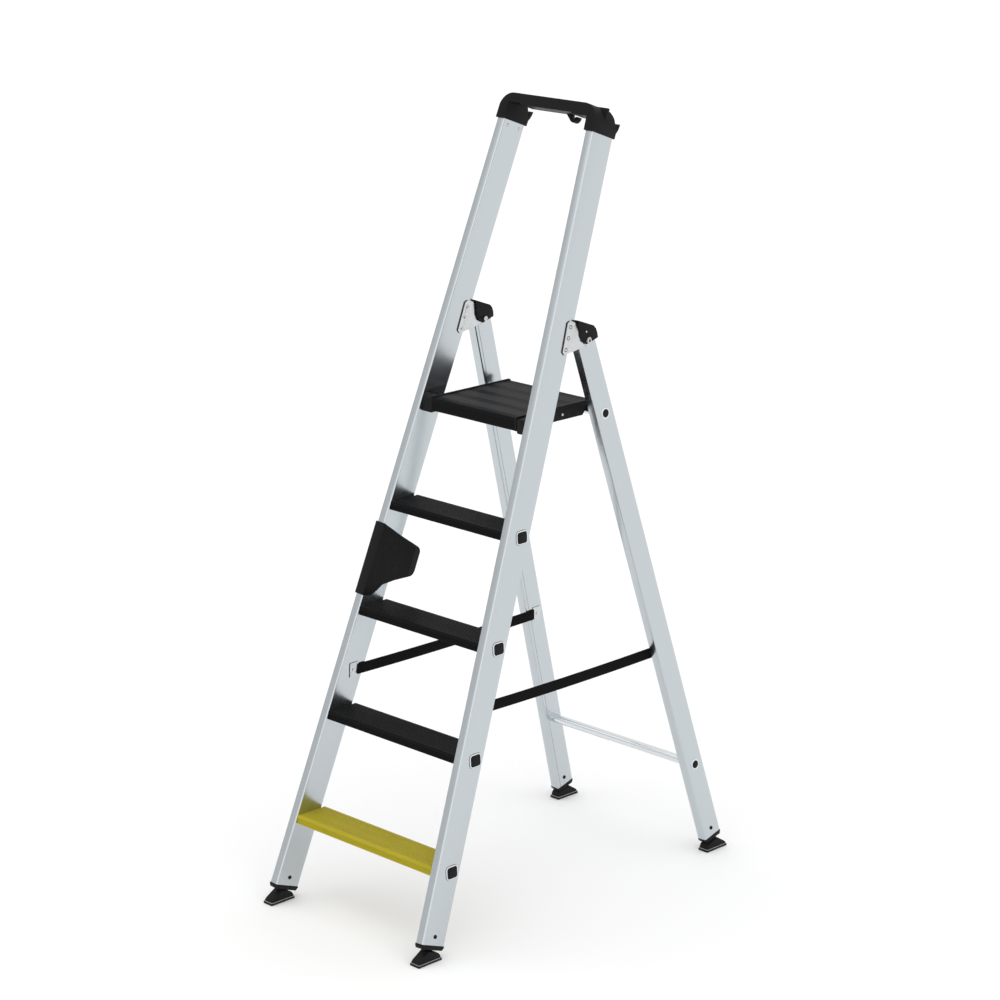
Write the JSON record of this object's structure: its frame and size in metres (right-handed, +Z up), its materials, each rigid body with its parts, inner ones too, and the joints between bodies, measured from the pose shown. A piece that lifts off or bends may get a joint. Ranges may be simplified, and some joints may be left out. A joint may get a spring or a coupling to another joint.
{
  "type": "step ladder",
  "caption": "Folding aluminium platform step ladder: two leaning frames hinged at the top, treads, restraint straps, handrail bracket with a hook, and rubber shoes.",
  "frame": {"origin": "middle of the footprint, on the floor", "axes": "+Z up; the front, where a person climbs, faces -Y; +X is to the right of a person who faces the steps"},
  "size_m": [0.5204, 1.015, 1.8131],
  "materials": {
    "aluminium": "smooth satin extrusion",
    "zinced_steel": "zinc plated, smooth",
    "fastener_steel": "bright zinc plated",
    "black_plastic": "fine moulded grain",
    "black_coating": "satin powder coat on a ribbed extrusion",
    "yellow_coating": "satin powder coat on a ribbed extrusion",
    "black_rubber": "ribbed sole",
    "webbing": "woven webbing"
  },
  "bodies": {
    "front_frame": {"top_bracket": "black_plastic", "carry_grip": "black_plastic", "step_1": "yellow_coating", "step_2": "black_coating", "step_3": "black_coating", "step_4": "black_coating", "step_plug_1_left": "black_plastic", "step_plug_1_right": "black_plastic", "step_plug_2_left": "black_plastic", "step_plug_2_right": "black_plastic", "step_plug_3_left": "black_plastic", "step_plug_3_right": "black_plastic", "step_plug_4_left": "black_plastic", "step_plug_4_right": "black_plastic", "stile_left": "aluminium", "stile_right": "aluminium", "hinge_plate_outer_left": "zinced_steel", "hinge_plate_outer_right": "zinced_steel", "hinge_plate_inner_left": "zinced_steel", "hinge_plate_inner_right": "zinced_steel", "hinge_rivet_1_left": "fastener_steel", "hinge_rivet_1_right": "fastener_steel", "hinge_rivet_2_left": "fastener_steel", "hinge_rivet_2_right": "fastener_steel", "hinge_rivet_3_left": "fastener_steel", "hinge_rivet_3_right": "fastener_steel", "pivot_bolt_left": "fastener_steel", "pivot_bolt_right": "fastener_steel", "pivot_nut_left": "fastener_steel", "pivot_nut_right": "fastener_steel", "platform_bracket_left": "black_plastic", "platform_bracket_right": "black_plastic", "strap_clamp_front_left": "zinced_steel", "strap_clamp_front_right": "zinced_steel", "strap_left": "webbing", "strap_right": "webbing", "foot_plug_front_left": "black_plastic", "foot_plug_front_right": "black_plastic"},
    "rear_frame": {"platform_cross_tube": "aluminium", "lower_cross_tube": "aluminium", "rear_leg_left": "aluminium", "rear_leg_right": "aluminium", "leg_cap_left": "black_plastic", "leg_cap_right": "black_plastic", "platform_tube_plug_left": "black_plastic", "platform_tube_plug_right": "black_plastic", "lower_tube_plug_left": "black_plastic", "lower_tube_plug_right": "black_plastic", "strap_clamp_rear_left": "zinced_steel", "strap_clamp_rear_right": "zinced_steel", "foot_plug_rear_left": "black_plastic", "foot_plug_rear_right": "black_plastic"},
    "platform": {"platform_deck": "black_plastic", "platform_rail_left": "black_plastic", "platform_rail_right": "black_plastic"},
    "front_shoe_left": {"shoe_front_left": "black_rubber"},
    "front_shoe_right": {"shoe_front_right": "black_rubber"},
    "rear_shoe_left": {"shoe_rear_left": "black_rubber"},
    "rear_shoe_right": {"shoe_rear_right": "black_rubber"}
  },
  "joints": [
    {"name": "leg_fold", "type": "hinge", "parent": "front_frame", "child": "rear_frame", "pos_m": [0, 0.09439, 1.29742], "axis": [-1, 0, 0], "range_deg": [0, 36.69], "deforming": ["strap_left", "strap_right"]},
    {"name": "platform_tilt", "type": "hinge", "parent": "front_frame", "child": "platform", "pos_m": [0, -0.06824, 1.1237], "axis": [1, 0, 0], "range_deg": [0, 69.64]},
    {"name": "front_shoe_tilt_left", "type": "hinge", "parent": "front_frame", "child": "front_shoe_left", "pos_m": [-0.2445, -0.46897, 0.015], "axis": [1, 0, 0], "range_deg": [-5, 5]},
    {"name": "front_shoe_tilt_right", "type": "hinge", "parent": "front_frame", "child": "front_shoe_right", "pos_m": [0.2445, -0.46897, 0.015], "axis": [1, 0, 0], "range_deg": [-5, 5]},
    {"name": "rear_shoe_tilt_left", "type": "hinge", "parent": "rear_frame", "child": "rear_shoe_left", "pos_m": [-0.2472, 0.47003, 0.01536], "axis": [1, 0, 0], "range_deg": [-5, 5]},
    {"name": "rear_shoe_tilt_right", "type": "hinge", "parent": "rear_frame", "child": "rear_shoe_right", "pos_m": [0.2472, 0.47003, 0.01536], "axis": [1, 0, 0], "range_deg": [-5, 5]}
  ],
  "couplings": [
    {"joint": "platform_tilt", "follows": "leg_fold", "ratio": 1.898}
  ]
}
